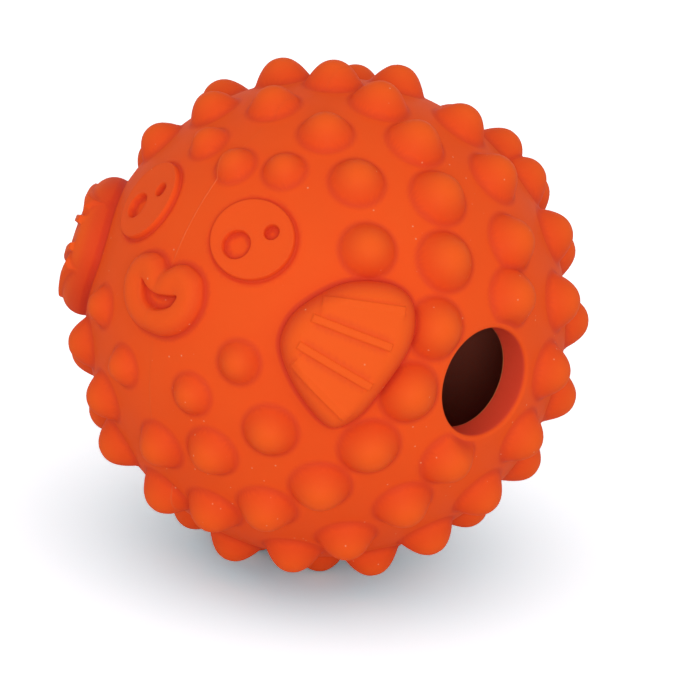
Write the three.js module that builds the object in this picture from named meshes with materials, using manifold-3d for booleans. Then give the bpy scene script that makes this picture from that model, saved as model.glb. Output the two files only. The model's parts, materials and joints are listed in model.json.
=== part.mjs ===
// Treat ball for dogs in the shape of a puffer fish. Two hollow half shells of moulded rubber
// are bonded edge to edge on the fish's middle plane. Treats go in and fall out through one
// round hole in the left shell. The eyes, lips, fins and bumps are moulded in one with the wall.
// Millimetres, +Z up. In the fish's own frame its nose looks along -Y and its left side along +X.

import * as THREE from 'three';
import { mergeVertices } from 'three/addons/utils/BufferGeometryUtils.js';
import Module from 'manifold-3d';

const wasm = await Module();
wasm.setup();

// Shell
const BODY_RADIUS = 50;
const WALL = 6.3;
const NOSE_LIFT = 25; // degrees that the nose points up when the ball stands on its bumps
const ROOT = 1; // how deep the foot of each raised form is sunk into the wall
const SKIN_DETAIL = 6; // splits of each edge of the icosahedron that rounds the skin
const CAVITY_DETAIL = 4;

// Treat hole, bored along X in the left shell
const HOLE_DIAMETER = 22.6;
const HOLE_POLAR = 83.2; // degrees from the nose
const RIM_ROUNDING = 1.2;

// Bumps stand in rings about the line from nose to back. polar is the angle from the nose.
// A place on a ring is its roll about that line, from the left side (0) over the back (90).
// Places are counted down from the first one. Like the sculpted original, a few bumps stand
// off the even spacing: moved gives their number with the shift in polar and in roll.
const BUMP_BLUNTNESS = 1.7;
const BUMP_STEPS = [0.74, 0.36];
const BUMP_SIDES = 8;
const FACE_BUMPS = { diameter: 9.2, height: 3.6, places: [
  { polar: 25, roll: 82 }, { polar: 30.5, roll: 111 }, { polar: 31, roll: 61.5 },
  { polar: 29, roll: -35.5 }, { polar: 31, roll: -65.5 }, { polar: 30, roll: -109 },
  { polar: 28, roll: -142.5 },
] };
const CHEEK_RING = { polar: 45.5, diameter: 11.6, height: 4.6,
  rolls: [144, 121, 96, 71, 48.5, 25, -43, -66.5, -88, -119, -140.5] };
const BODY_BUMP = { diameter: 12.4, height: 5.3 };
const BODY_RINGS = [
  { polar: 63.9, count: 21, first: 93.2,
    moved: { 12: [-4, -2], 13: [7, -3], 17: [3, -5], 18: [6, -7], 19: [2, 4] } },
  { polar: 83.6, count: 21, first: 84.6,
    moved: {
      0: [-3, 3], 9: [1, 1], 10: [5, -3], 11: [7, -3], 12: [8, -4], 18: [0, 3], 19: [3.5, 4], 20: [6, 6],
    } },
  { polar: 105.5, count: 21, first: 93.2,
    moved: { 0: [3, -3], 1: [-3, -8], 3: [2, 1], 10: [4.5, -2.5], 11: [0, -3] } },
  { polar: 125.5, count: 16, first: 93, moved: { 1: [-8, -7], 5: [4, 0], 6: [4, -1], 7: [3, 2] } },
  { polar: 147, count: 12, first: 70 },
  { polar: 163, count: 6, first: 90 },
  { polar: 180, count: 1, first: 0 },
];

// Eyes: flat discs with two blind pits each
const EYE = { polar: 19.8, roll: 31.8, diameter: 17.2, raise: 0.7 };
const PIT_DEPTH = 1.3;
const PITS = [
  { x: -2.9, y: -1.7, diameter: 6.2 },
  { x: 2.3, y: 3.1, diameter: 3.5 },
];

// Lips and mouth. Outlines are in millimetres on the unrolled surface, x to the left, y up.
const LIPS = { polar: 8.5, roll: -90, height: 3 };
const LIPS_OUTLINE = [
  [0, 5.3], [2.5, 6.7], [5.2, 7], [8.6, 5.4], [10.2, 1.5], [9.5, -2.4], [7.2, -5.5], [3.8, -7.4],
  [0, -7.8],
];
const MOUTH_DEPTH = 0.8; // below the ball's surface
const MOUTH_OUTLINE = [[0, -0.3], [2.3, 0.1], [4.7, 1.2], [3.4, -1.4], [0, -2.8]];

// Fins: crowned fan-shaped pads with four ribs each
const FIN = { polar: 46.3, roll: -6.9, height: 5.2 };
const FIN_OUTLINE = [
  [-12.6, 0], [-10.6, 5.6], [-3.9, 12.2], [4.5, 14.5], [9.9, 12], [11.6, 4.4], [8.3, -6.5],
  [5.6, -12.2], [1.2, -15.1], [-5.8, -10.8], [-11.2, -4.8],
];
const RIB_WIDTH = 1.2;
const RIB_HEIGHT = 0.7;
const RIBS = [
  [[-6.8, 7.9], [7.5, 9.9]],
  [[-7.6, 4.3], [6.9, 3.1]],
  [[-8.6, -0.9], [5.5, -4.5]],
  [[-8.7, -4.5], [3.2, -11.2]],
];

const UP = new THREE.Vector3(0, 1, 0);
const rad = THREE.MathUtils.degToRad;

// Unit direction from the ball's centre to a place on its surface
function direction({ polar, roll }) {
  const p = rad(polar);
  const r = rad(roll);
  return new THREE.Vector3(Math.sin(p) * Math.cos(r), -Math.cos(p), Math.sin(p) * Math.sin(r));
}

// Closed geometry to a solid
function solid(geometry) {
  const bare = geometry.clone();
  bare.deleteAttribute('normal');
  bare.deleteAttribute('uv');
  const merged = mergeVertices(bare, 1e-5);
  return new wasm.Manifold(new wasm.Mesh({
    numProp: 3,
    vertProperties: new Float32Array(merged.attributes.position.array),
    triVerts: new Uint32Array(merged.index.array),
  }));
}

// Solid back to a geometry, with points that lie within a ten-thousandth of the middle plane
// put on it
function geometryOf(body) {
  const { vertProperties, triVerts } = body.getMesh();
  const points = Float32Array.from(vertProperties, (v, i) => (i % 3 === 0 && Math.abs(v) < 1e-4 ? 0 : v));
  const geometry = new THREE.BufferGeometry();
  geometry.setAttribute('position', new THREE.BufferAttribute(points, 3));
  geometry.setIndex(new THREE.BufferAttribute(Uint32Array.from(triVerts), 1));
  geometry.computeVertexNormals();
  return geometry;
}

// Lathed form that stands on the ball with its axis through the centre; profile heights are
// distances from the centre
function radial(profile, place, sides) {
  const geometry = new THREE.LatheGeometry(profile.map(([r, h]) => new THREE.Vector2(r, h)), sides);
  const turn = new THREE.Quaternion().setFromUnitVectors(UP, direction(place));
  return geometry.applyQuaternion(turn);
}

// Distance from the centre of the plane that cuts the ball in a circle of this radius
function planeHeight(radius) {
  return Math.sqrt(BODY_RADIUS ** 2 - radius ** 2);
}

// Directions along the surface at a place: x towards the left side, y towards the back
function tangents(place) {
  const out = direction(place);
  const x = new THREE.Vector3(1, 0, 0).addScaledVector(out, -out.x).normalize();
  return { out, x, y: new THREE.Vector3().crossVectors(out, x) };
}

// Bends a flat form (x, y flat, z height above the surface) onto the ball at a place
function wrap(geometry, place) {
  const { out, x, y } = tangents(place);
  const at = geometry.attributes.position;
  const point = new THREE.Vector3();
  for (let i = 0; i < at.count; i += 1) {
    const reach = Math.hypot(at.getX(i), at.getY(i));
    const angle = reach / BODY_RADIUS;
    const side = Math.sin(angle) / Math.max(reach, 1e-9);
    point.copy(out).multiplyScalar(Math.cos(angle));
    point.addScaledVector(x, side * at.getX(i)).addScaledVector(y, side * at.getY(i));
    point.multiplyScalar(BODY_RADIUS + at.getZ(i));
    at.setXYZ(i, point.x, point.y, point.z);
  }
  return geometry;
}

// Pad with a free outline, given clockwise: a lathed disc of radius 1, each ray stretched to it
function pad(outline, profile, place, sides) {
  const curve = new THREE.CatmullRomCurve3(outline.map(([x, y]) => new THREE.Vector3(x, y, 0)), true);
  const rim = curve.getSpacedPoints(sides).reverse();
  const geometry = new THREE.LatheGeometry(profile.map(([s, h]) => new THREE.Vector2(s, h)), sides);
  const at = geometry.attributes.position;
  for (let i = 0; i < at.count; i += 1) {
    const share = Math.hypot(at.getX(i), at.getZ(i));
    const ray = rim[Math.floor(i / profile.length) % sides];
    at.setXYZ(i, ray.x * share, ray.y * share, at.getY(i));
  }
  return wrap(geometry, place);
}

// Outline given for x >= 0, mirrored to a closed one
function mirrored(half) {
  const inner = half.filter(([x]) => x > 0).reverse();
  return [...half, ...inner.map(([x, y]) => [-x, y])];
}

const holeRadius = HOLE_DIAMETER / 2;
const holePlace = { polar: HOLE_POLAR, roll: 0 };

// Dome with a blunt tip, steepest at its foot. The lowest flank runs on into the wall.
function bump(place, { diameter, height }) {
  const foot = diameter / 2;
  const base = planeHeight(foot);
  const flank = BUMP_STEPS.map((s) => [s * foot, base + height * (1 - s ** BUMP_BLUNTNESS)]);
  const spread = (foot - flank[0][0]) / (flank[0][1] - base);
  const root = [foot + ROOT * spread, base - ROOT];
  return solid(radial([[0, base - ROOT], root, ...flank, [0, base + height]], place, BUMP_SIDES));
}

// Evenly spaced places on a ring. The bump whose place the hole takes is left out, and its
// neighbours make way until their feet clear the rim.
function ringPlaces({ polar, count, first, moved = {} }) {
  const clear = THREE.MathUtils.radToDeg((holeRadius + BODY_BUMP.diameter / 2) / BODY_RADIUS);
  const away = Math.abs(polar - HOLE_POLAR) < clear / 2 ? clear : 0;
  const places = [];
  for (let k = 0; k < count; k += 1) {
    const even = THREE.MathUtils.euclideanModulo(first - k * (360 / count) + 180, 360) - 180;
    if (Math.abs(even) < away / 2) continue;
    const [dPolar, dRoll] = moved[k] ?? [0, 0];
    const roll = Math.sign(even) * Math.max(Math.abs(even), away);
    places.push({ polar: polar + dPolar, roll: roll + dRoll });
  }
  return places;
}

function bumps() {
  const cheeks = CHEEK_RING.rolls.map((roll) => ({ polar: CHEEK_RING.polar, roll }));
  return [
    ...FACE_BUMPS.places.map((place) => bump(place, FACE_BUMPS)),
    ...cheeks.map((place) => bump(place, CHEEK_RING)),
    ...BODY_RINGS.flatMap(ringPlaces).map((place) => bump(place, BODY_BUMP)),
  ];
}

function eyePlace(side) {
  return { polar: EYE.polar, roll: side > 0 ? EYE.roll : 180 - EYE.roll };
}

function eyeDisc(side) {
  const top = BODY_RADIUS + EYE.raise;
  const r = EYE.diameter / 2;
  const edge = 0.35;
  const foot = planeHeight(r) - ROOT;
  return solid(radial([[0, foot], [r, foot], [r, top - edge], [r - edge, top], [0, top]],
    eyePlace(side), 24));
}

// Both eyes have the large pit towards the fish's right and the small one above its left
function eyePit(side, pit) {
  const place = eyePlace(side);
  const { x, y } = tangents(place);
  const top = BODY_RADIUS + EYE.raise;
  const r = pit.diameter / 2;
  const floor = top - PIT_DEPTH;
  const geometry = radial([[0, floor], [r * 0.8, floor], [r, floor + 0.5], [r, top + 1], [0, top + 1]],
    place, 12);
  const shift = x.multiplyScalar(pit.x).addScaledVector(y, pit.y);
  return solid(geometry.translate(shift.x, shift.y, shift.z));
}

function lips() {
  const h = LIPS.height;
  const profile = [[0, -ROOT], [1, -ROOT], [0.95, 0.6 * h], [0.76, h], [0.5, 0.9 * h], [0, 0.6 * h]];
  return solid(pad(mirrored(LIPS_OUTLINE), profile, LIPS, 24));
}

function mouth() {
  const top = LIPS.height + 1;
  const profile = [[0, -MOUTH_DEPTH], [0.9, -MOUTH_DEPTH], [1, top], [0, top]];
  return solid(pad(mirrored(MOUTH_OUTLINE), profile, LIPS, 14));
}

// The left fin with its ribs, and the right one as its mirror image
function fin(side) {
  const h = FIN.height;
  const profile = [[0, -ROOT], [1, -ROOT], [0.95, 0.55 * h], [0.8, 0.95 * h], [0.4, h], [0, h]];
  const base = solid(pad(FIN_OUTLINE, profile, FIN, 24));
  const ribs = RIBS.map(([[x0, y0], [x1, y1]]) => {
    const length = Math.hypot(x1 - x0, y1 - y0);
    const low = h - ROOT;
    const bar = new THREE.BoxGeometry(length, RIB_WIDTH, h + RIB_HEIGHT - low, 3, 1, 1);
    bar.translate(length / 2, 0, (h + RIB_HEIGHT + low) / 2);
    bar.rotateZ(Math.atan2(y1 - y0, x1 - x0)).translate(x0, y0, 0);
    return solid(wrap(bar, FIN));
  });
  const whole = ribs.reduce((all, rib) => all.add(rib), base);
  return side > 0 ? whole : whole.mirror([1, 0, 0]);
}

// Straight bore along X, and the rounded rim as a flare about the hole's own radius of the ball
function bore() {
  const centre = direction(holePlace).multiplyScalar(BODY_RADIUS);
  const cylinder = new THREE.CylinderGeometry(holeRadius, holeRadius, BODY_RADIUS, 28);
  cylinder.rotateZ(Math.PI / 2).translate(BODY_RADIUS, centre.y, centre.z);
  const lip = planeHeight(holeRadius + RIM_ROUNDING) - RIM_ROUNDING;
  const arc = [0, 30, 60, 90].map((a) => [
    holeRadius + RIM_ROUNDING * (1 - Math.cos(rad(a))),
    lip + RIM_ROUNDING * Math.sin(rad(a)),
  ]);
  const far = holeRadius + RIM_ROUNDING;
  const flare = radial([[0, lip], ...arc, [far, BODY_RADIUS * 1.2], [0, BODY_RADIUS * 1.2]], holePlace, 28);
  return solid(cylinder).add(solid(flare));
}

// The whole hollow ball
function ball() {
  const skin = solid(new THREE.IcosahedronGeometry(BODY_RADIUS, SKIN_DETAIL));
  const raised = [...bumps(), eyeDisc(1), eyeDisc(-1), lips(), fin(1), fin(-1)];
  const cuts = [
    solid(new THREE.IcosahedronGeometry(BODY_RADIUS - WALL, CAVITY_DETAIL)),
    bore(),
    mouth(),
    ...[1, -1].flatMap((side) => PITS.map((pit) => eyePit(side, pit))),
  ];
  const full = raised.reduce((all, form) => all.add(form), skin);
  return cuts.reduce((all, cut) => all.subtract(cut), full);
}

// The half of the ball on one side of the middle plane
function half(body, side) {
  const size = BODY_RADIUS * 3;
  const box = new THREE.BoxGeometry(size, size, size).translate(side * size / 2, 0, 0);
  return geometryOf(body.intersect(solid(box)));
}

const whole = ball();

const leftHalfShell = new THREE.Mesh(half(whole, 1),
  new THREE.MeshStandardMaterial({ color: 0xf25a1e, roughness: 0.55, metalness: 0 }));
leftHalfShell.name = 'left_half_shell';

const rightHalfShell = new THREE.Mesh(half(whole, -1),
  new THREE.MeshStandardMaterial({ color: 0xf25a1e, roughness: 0.55, metalness: 0 }));
rightHalfShell.name = 'right_half_shell';

// The fish is tipped nose up, as the ball rests, and set down on the ground
const fish = new THREE.Group();
fish.add(leftHalfShell, rightHalfShell);
fish.rotation.x = -rad(NOSE_LIFT);

const group = new THREE.Group();
group.add(fish);
group.updateMatrixWorld(true);
const reach = new THREE.Box3().setFromObject(group, true);
const centre = reach.getCenter(new THREE.Vector3());
fish.position.set(-centre.x, -centre.y, -reach.min.z);

export default group;
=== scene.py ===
# %% [markdown]
# Treat ball in the shape of a puffer fish
#
# The real toy is a hollow ball of one orange rubber, about 100 mm across, moulded as two half
# shells that are bonded on the fish's middle plane. Bumps, fins, eyes and lips are one with the
# wall, and a round hole in the left side lets dry treats in and out. The CAD model gives the two
# shells as coarse solids. This script keeps their size and place, and makes their fine skin.

# %% The frame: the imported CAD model, with its box and its measured places
import json
import math

import bpy
import numpy as np
from mathutils import Matrix, Vector, geometry


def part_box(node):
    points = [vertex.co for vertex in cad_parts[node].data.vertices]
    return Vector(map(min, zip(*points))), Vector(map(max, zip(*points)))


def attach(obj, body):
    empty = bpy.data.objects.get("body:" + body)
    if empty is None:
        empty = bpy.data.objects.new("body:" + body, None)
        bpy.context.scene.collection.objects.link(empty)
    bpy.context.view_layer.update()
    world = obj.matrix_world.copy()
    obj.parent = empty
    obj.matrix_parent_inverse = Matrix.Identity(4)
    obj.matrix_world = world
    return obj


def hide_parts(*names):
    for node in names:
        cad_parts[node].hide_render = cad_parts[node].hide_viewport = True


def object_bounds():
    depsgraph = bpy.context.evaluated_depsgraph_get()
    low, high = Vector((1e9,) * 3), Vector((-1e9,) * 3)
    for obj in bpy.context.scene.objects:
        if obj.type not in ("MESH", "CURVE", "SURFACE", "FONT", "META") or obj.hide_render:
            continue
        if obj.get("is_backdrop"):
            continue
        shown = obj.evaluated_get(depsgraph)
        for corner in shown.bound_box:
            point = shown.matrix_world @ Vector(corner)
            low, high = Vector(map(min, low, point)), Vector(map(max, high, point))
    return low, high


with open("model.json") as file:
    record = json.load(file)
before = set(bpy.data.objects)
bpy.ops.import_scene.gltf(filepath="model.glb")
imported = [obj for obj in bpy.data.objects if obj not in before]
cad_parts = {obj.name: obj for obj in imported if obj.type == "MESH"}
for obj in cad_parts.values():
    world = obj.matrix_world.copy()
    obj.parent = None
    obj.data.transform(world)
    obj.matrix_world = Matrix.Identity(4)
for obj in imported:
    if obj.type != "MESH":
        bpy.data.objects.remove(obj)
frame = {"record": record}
cad_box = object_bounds()
scene = bpy.context.scene
MM = 0.001

openings = {row["name"]: np.array(row["box_m"]) for row in frame["record"]["physics"]["openings"]}
ball_centre = openings["treat_chamber"].mean(axis=0)
ball_centre[0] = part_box("left_half_shell")[0].x
print("ball centre in mm", np.round(ball_centre / MM, 3))

# %% [markdown]
# A place on the fish is given by two angles, as on a globe whose pole is the nose: polar is the
# angle from the nose, and roll goes round the line from nose to back, from the left side over the
# top. In the fish's own frame x is its left, y its back and z its up. The ball rests with the
# nose lifted, so one turn about x takes the fish's frame to the frame of the CAD model.

# %% Places on the fish
BODY_RADIUS = 50.0
WALL = 6.3
NOSE_LIFT = math.radians(25)


def direction(polar, roll):
    """Unit vector (sin p cos r, -cos p, sin p sin r) of a place, in the fish's frame."""
    p, r = np.radians(polar), np.radians(roll)
    return np.stack([np.sin(p) * np.cos(r), -np.cos(p) + 0 * r, np.sin(p) * np.sin(r)], axis=-1)


def to_world(points):
    """Fish frame in mm to the CAD frame in metres: y and z turn by the nose's lift, then the
    ball's centre is added."""
    c, s = math.cos(NOSE_LIFT), math.sin(NOSE_LIFT)
    turn = np.array([[1, 0, 0], [0, c, s], [0, -s, c]])
    return points @ turn.T * MM + ball_centre


def tangents(out):
    """Two directions on the surface at a unit vector: u towards the fish's left, v towards its
    back or top, square to it."""
    u = np.array([1.0, 0, 0]) - out[0] * out
    u /= np.linalg.norm(u)
    return u, np.cross(out, u)


def flat(dirs, out):
    """Unrolled coordinates in mm of unit vectors around a place: each point lies at its true
    distance along the surface, radius times angle, and in its true direction."""
    u, v = tangents(out)
    along = dirs @ out
    side = np.stack([dirs @ u, dirs @ v], axis=-1)
    reach = np.linalg.norm(side, axis=-1)
    angle = np.arctan2(reach, along)
    return side * (BODY_RADIUS * angle / np.maximum(reach, 1e-12))[:, None]


def unflat(points, out):
    """The inverse of flat: unit vectors for unrolled coordinates around a place."""
    u, v = tangents(out)
    reach = np.linalg.norm(points, axis=-1)
    angle = reach / BODY_RADIUS
    share = np.sin(angle) / np.maximum(reach, 1e-12)
    return np.cos(angle)[:, None] * out + (points[:, :1] * u + points[:, 1:] * v) * share[:, None]


# %% [markdown]
# Forms melt into each other with small fillets, as on any moulded rubber. A soft maximum does
# that: where two heights are nearly alike it lies a little above both, so a sharp valley between
# two forms becomes round. A soft minimum rounds edges in the same way.

# %% Soft maximum and minimum
def soft_max(a, b, fillet):
    """Larger of a and b, plus a quarter of fillet times h squared, where h falls from 1 where
    they are equal to 0 where they differ by the fillet."""
    h = np.clip(1 - np.abs(a - b) / fillet, 0, 1)
    return np.maximum(a, b) + h * h * fillet / 4


def soft_min(a, b, fillet):
    """Mirror image of the soft maximum."""
    return -soft_max(-a, -b, fillet)


# %% [markdown]
# The bumps stand in rings round the fish, like the spines of a puffed-up puffer. A ring is its polar
# angle, its number of bumps, the roll of the first one, and the shifts of some of them in degrees,
# because the sculpted original isn't quite regular. A size is a foot's diameter and a height.

# %% Places of the bumps
FACE_BUMPS = [(25.2, 85.5), (30.5, 111), (31.8, 63.9), (29, -35.5), (31, -65.5), (30, -109), (28, -142.5)]
CHEEK_POLAR = 45.5
CHEEK_ROLLS = [144, 121, 96, 71, 48.5, 25, -43, -66.5, -88, -119, -140.5]
BODY_RINGS = [
    (63.9, 21, 93.2, {12: (-4, -2), 13: (7, -3), 17: (3, -5), 18: (6, -7), 19: (2, 4)}),
    (83.6, 21, 84.6, {0: (-3, 3), 9: (1, 1), 10: (5, -3), 11: (7, -3), 12: (8, -4), 18: (0, 3),
                      19: (3.5, 4), 20: (6, 6)}),
    (105.5, 21, 93.2, {0: (3, -3), 1: (-3, -8), 3: (2, 1), 10: (4.5, -2.5), 11: (0, -3)}),
    (125.5, 16, 93, {1: (-8, -7), 5: (4, 0), 6: (4, -1), 7: (3, 2)}),
    (147, 12, 70, {}),
    (163, 6, 90, {}),
    (180, 1, 0, {}),
]
FACE_SIZE, CHEEK_SIZE, BODY_SIZE = (8.5, 3.4), (10.8, 4.5), (12.0, 5.2)
HOLE_RADIUS = 11.0
HOLE_POLAR, HOLE_ROLL = 83.7, -0.5
RIM_CLEARANCE = 17.5


def ring_places(polar, count, first, moved):
    """Evenly spaced places on a ring. The one that the hole takes is left out, and its
    neighbours keep the rim's clearance from the hole's middle."""
    clear = math.degrees(RIM_CLEARANCE / BODY_RADIUS)
    away = clear if abs(polar - HOLE_POLAR) < clear / 2 else 0
    places = []
    for k in range(count):
        even = (first - k * 360 / count + 180) % 360 - 180
        if abs(even) < away / 2:
            continue
        d_polar, d_roll = moved.get(k, (0, 0))
        places.append((polar + d_polar, math.copysign(max(abs(even), away), even) + d_roll))
    return places


bumps = [(p, r, *FACE_SIZE) for p, r in FACE_BUMPS]
bumps += [(CHEEK_POLAR, r, *CHEEK_SIZE) for r in CHEEK_ROLLS]
bumps += [(p, r, *BODY_SIZE) for ring in BODY_RINGS for p, r in ring_places(*ring)]
print("bumps", len(bumps))

# %% [markdown]
# One bump is a dome with a blunt tip, steepest at its foot. Its height is known over a flat
# plane, but the skin is worked out as a distance from the ball's centre in each direction. Where
# a ray from the centre meets the dome has no short formula, so a few rounds of substitution find
# it for all the points of the mesh at once.

# %% Height of the bumps
BLUNTNESS = 2.3
FOOT_FILLET = 0.45
FOOT_MARGIN = 1.7
ROUNDS = 8


def dome(share):
    """Height of a bump by the share of its foot's radius: one minus share to the power of its
    bluntness."""
    return 1 - share**BLUNTNESS


def add_bumps(radius, dirs):
    """Radius in each direction with the bumps melted into it. A dome's surface lies at base plus
    height times dome(share) along its own axis, and the radius is that over the cosine. Each
    round takes the mean of the last radius and of the one that it gives."""
    for polar, roll, diameter, height in bumps:
        foot = diameter / 2
        cosine = dirs @ direction(polar, roll)
        near = np.flatnonzero(cosine > math.cos(FOOT_MARGIN * foot / BODY_RADIUS))
        c = cosine[near]
        s = np.sqrt(1 - np.minimum(c * c, 1))
        base = math.sqrt(BODY_RADIUS**2 - foot**2)
        r = np.full(len(near), BODY_RADIUS + height / 2)
        for _ in range(ROUNDS):
            r = 0.5 * r + 0.5 * (base + height * dome(r * s / foot)) / c
        radius[near] = soft_max(radius[near], r, FOOT_FILLET)
    return radius


# %% [markdown]
# Fins, lips and mouth have free outlines. Each is a smooth closed curve through a few points, and
# everything else about it follows from one number: how far a point lies inside that curve.

# %% Closed outlines
CURVE_STEP = 0.3
CURVE_PARTS = 24


def closed_curve(points):
    """Closed smooth curve through the points, resampled to an even step. Between two points it
    is a cubic, and its slope at a point is half the way from the last point to the next."""
    p = np.array(points, float)
    t = np.linspace(0, 1, CURVE_PARTS, endpoint=False)[:, None]
    pieces = []
    for a, b, c, d in zip(np.roll(p, 1, 0), p, np.roll(p, -1, 0), np.roll(p, -2, 0)):
        pieces.append(0.5 * (2 * b + (c - a) * t + (2 * a - 5 * b + 4 * c - d) * t**2
                             + (3 * b - a - 3 * c + d) * t**3))
    return resample(np.concatenate(pieces))


def resample(curve):
    """Points at an even distance of about CURVE_STEP along a closed polyline."""
    ends = np.vstack([curve, curve[:1]])
    length = np.r_[0, np.cumsum(np.linalg.norm(np.diff(ends, axis=0), axis=1))]
    count = int(round(length[-1] / CURVE_STEP))
    at = np.linspace(0, length[-1], count, endpoint=False)
    return np.stack([np.interp(at, length, ends[:, k]) for k in (0, 1)], axis=-1)


def circle(x, y, radius, step=CURVE_STEP):
    """Closed circle about (x, y)."""
    count = int(round(2 * math.pi * radius / step))
    a = np.linspace(0, 2 * math.pi, count, endpoint=False)
    return np.stack([x + radius * np.cos(a), y + radius * np.sin(a)], axis=-1)


def mirrored(half):
    """An outline given for x from 0 up, closed by its mirror image."""
    return half + [(-x, y) for x, y in reversed(half) if x > 0]


# %% Distance inside an outline, and rows of points beside it
AT_ONCE = 4000


def inside(points, curve):
    """Distance from each point to a closed curve, positive inside. The distance is the least
    one to its segments, and a point is inside where a ray crosses the curve an odd number of
    times. The points are taken in parts, which saves memory."""
    a, b = curve, np.roll(curve, -1, axis=0)
    edge = b - a
    result = np.empty(len(points))
    for part in np.array_split(np.arange(len(points)), max(len(points) // AT_ONCE, 1)):
        p = points[part][:, None, :]
        t = np.clip(((p - a) * edge).sum(-1) / (edge * edge).sum(-1), 0, 1)
        distance = np.linalg.norm(p - a - t[..., None] * edge, axis=-1).min(axis=1)
        crosses = (a[:, 1] > p[..., 1]) != (b[:, 1] > p[..., 1])
        rise = np.where(edge[:, 1] == 0, 1e-12, edge[:, 1])
        x = a[:, 0] + (p[..., 1] - a[:, 1]) * edge[:, 0] / rise
        odd = (crosses & (p[..., 0] < x)).sum(axis=1) % 2 == 1
        result[part] = np.where(odd, distance, -distance)
    return result


def rows_along(curve, offsets):
    """Copies of a closed curve, moved inwards by each offset along its normals, so that the
    points of neighbouring rows lie side by side."""
    ahead = np.roll(curve, -1, axis=0) - np.roll(curve, 1, axis=0)
    normal = np.stack([-ahead[:, 1], ahead[:, 0]], axis=-1)
    normal /= np.linalg.norm(normal, axis=1)[:, None]
    area = (curve[:, 0] * np.roll(curve[:, 1], -1) - curve[:, 1] * np.roll(curve[:, 0], -1)).sum()
    normal *= math.copysign(1, area)
    return np.concatenate([curve + offset * normal for offset in offsets])


# %% [markdown]
# A fin is a crowned fan-shaped pad with four ribs. The pad's flank rises as a quarter of an
# ellipse, and each rib stands a little over the pad. The inner two ribs have two steep sides. The
# outer two are steps: they are steep towards the border and slope gently towards the middle.
# The third number of a rib tells which side is the steep one, and is 0 for both.

# %% Outline, ribs and places of the fins
OUTER_FALL = 6
FIN_HEIGHT = 5.2
FIN_FLANK = 4.5
FIN_FILLET = 0.9
FIN_SPAN = 18
FIN_OUTLINE = closed_curve([
    (-12.6, 0), (-10.6, 5.6), (-3.9, 12.2), (4.5, 14.5), (9.9, 12), (11.6, 4.4), (8.3, -6.5),
    (5.6, -12.2), (1.2, -15.1), (-5.8, -10.8), (-11.2, -4.8),
])
FIN_ROWS = [-1.2, -0.8, -0.5, -0.3, -0.15, 0, 0.1, 0.22, 0.4, 0.65, 1.0, 1.4, 1.9]
RIB_WIDTH = 1.2
RIBS = [
    ((-6.8, 7.9), (7.5, 9.9), 1), ((-7.6, 4.3), (6.9, 3.1), 0),
    ((-8.6, -0.9), (5.5, -4.5), 0), ((-8.7, -4.5), (3.2, -11.2), -1),
]
RIB_ENDS = np.array([-0.35, -0.2, -0.08, 0, 0.15])
RIB_SIDES = np.array([0.2, 0.45, 0.6, 0.68, 0.8, 0.95])
RIB_FIRST, RIB_STEP = 0.4, 0.3
RIB_FALL = 3.5
RIB_FILLET = 0.3
RIB_ON_CROWN = 0.7
STEP_LENGTH = 3.2


def mirror_x(dirs):
    """Directions seen from the fish's other side."""
    return dirs * np.array([-1, 1, 1])


# The right fin sits a little higher on the toy, and its ribs stand out more.
FINS = [
    {"view": lambda dirs: dirs, "place": direction(46.3, -6.9), "rib": 0.6},
    {"view": mirror_x, "place": direction(46.3, -5.5), "rib": 1.2},
]


def fin_reach(dirs, fin):
    """Numbers of the directions near a fin, and their unrolled coordinates around it."""
    seen = fin["view"](dirs)
    near = np.flatnonzero(seen @ fin["place"] > math.cos(FIN_SPAN / BODY_RADIUS))
    return near, flat(seen[near], fin["place"])


# %% Height of a fin, and rows of points along its ribs
def rib_frame(rib):
    """Start, length and unit vectors along and across a rib."""
    start, end = np.array(rib[0], float), np.array(rib[1], float)
    length = np.linalg.norm(end - start)
    along = (end - start) / length
    return start, length, along, np.array([-along[1], along[0]])


def add_fin(height, at, rib_stands):
    """Height over the ball in the fin's unrolled coordinates. The pad is height times the root
    of 1 - (1 - e/flank) squared, with e the distance inside the outline, and outside it falls
    steeply. A rib is the lower of the pad plus what it stands and of a level a little over the
    crown, less a steep fall beyond its ends and sides."""
    e = inside(at, FIN_OUTLINE)
    share = 1 - np.clip(e / FIN_FLANK, 0, 1)
    pad = np.where(e > 0, FIN_HEIGHT * np.sqrt(np.maximum(1 - share**2, 0)), OUTER_FALL * e)
    height = soft_max(height, pad, FIN_FILLET)
    for rib in RIBS:
        start, length, along, across = rib_frame(rib)
        x, y = (at - start) @ along, (at - start) @ across
        side = rib[2]
        outer = np.abs(y) if side == 0 else y * side
        beyond = np.maximum(np.maximum(-x, x - length), outer - RIB_WIDTH / 2)
        bar = np.minimum(FIN_HEIGHT + RIB_ON_CROWN * rib_stands, pad + rib_stands)
        bar -= RIB_FALL * np.maximum(beyond, 0)
        if side != 0:
            inner = -outer - RIB_WIDTH / 2
            bar -= np.maximum(inner, 0) * (RIB_ON_CROWN * rib_stands + RIB_FILLET) / STEP_LENGTH
        height = soft_max(height, bar, RIB_FILLET)
    return height


def rib_rows(rib):
    """Points in rows along a rib and round its ends."""
    start, length, along, across = rib_frame(rib)
    x = np.r_[RIB_ENDS, np.arange(RIB_FIRST, length - RIB_STEP, RIB_STEP), length - RIB_ENDS[::-1]]
    y = np.r_[-RIB_SIDES[::-1], RIB_SIDES]
    grid_x, grid_y = np.meshgrid(x, y)
    return start + grid_x.reshape(-1, 1) * along + grid_y.reshape(-1, 1) * across


# %% [markdown]
# An eye is a flat disc in a shallow groove, with two blind round pits, one large and one small. In
# both eyes the large pit lies towards the fish's right. The two discs were sculpted by hand, so
# neither is quite round: each has its own two half widths, and its own places for the pits.

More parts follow.
